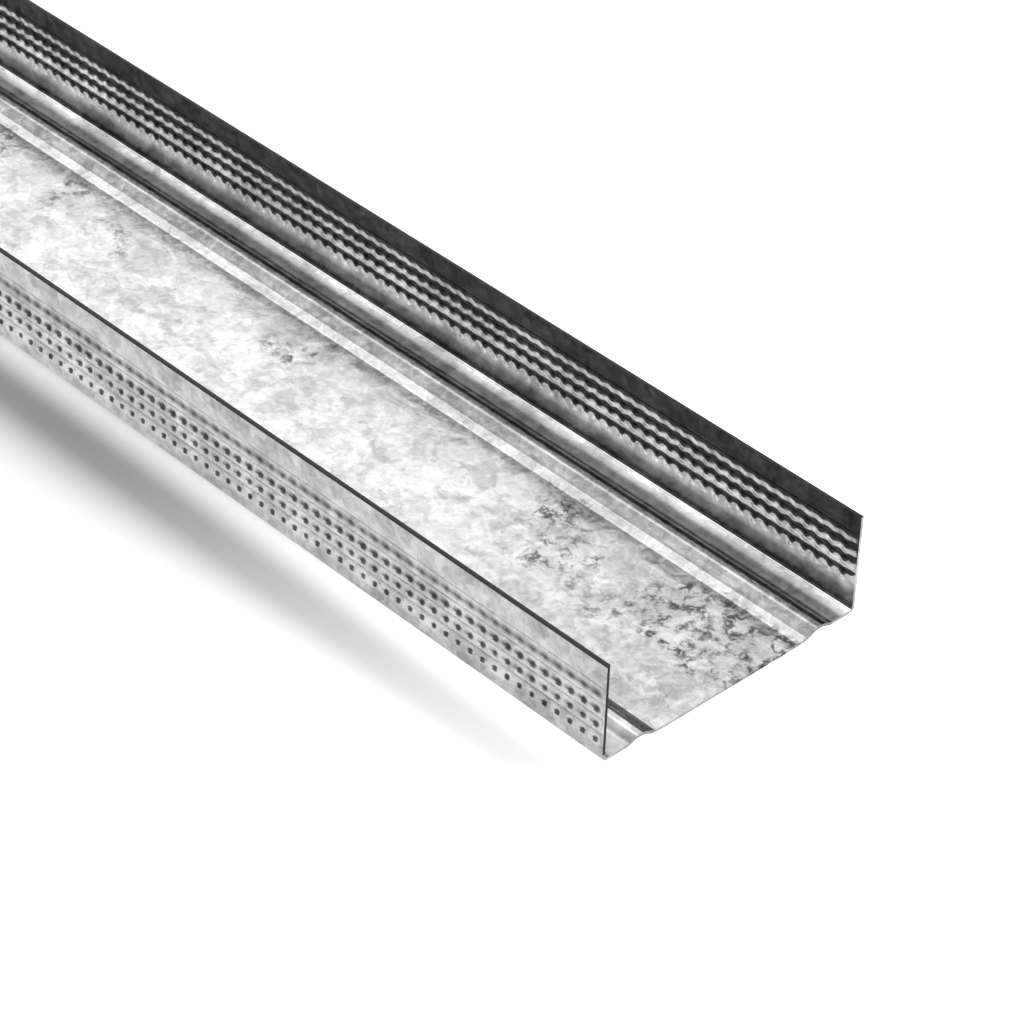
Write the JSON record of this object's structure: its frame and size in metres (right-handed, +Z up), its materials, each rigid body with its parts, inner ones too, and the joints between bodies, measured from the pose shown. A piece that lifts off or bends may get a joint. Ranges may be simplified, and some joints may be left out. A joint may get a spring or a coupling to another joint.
{
  "type": "metal stud track",
  "caption": "Long U-shaped track of galvanised sheet steel, with a beaded web and dimpled upright flanges, that holds the ends of wall studs.",
  "frame": {"origin": "on the floor under the middle of the web, half way along the track", "axes": "+X along the track, +Y across it from one flange to the other, +Z up out of the open side"},
  "size_m": [3.048, 0.0922, 0.0318],
  "materials": {
    "galvanised_sheet": "hot-dip galvanised, spangled, unpainted"
  },
  "bodies": {
    "root": {"stud_track": "galvanised_sheet"}
  },
  "joints": []
}
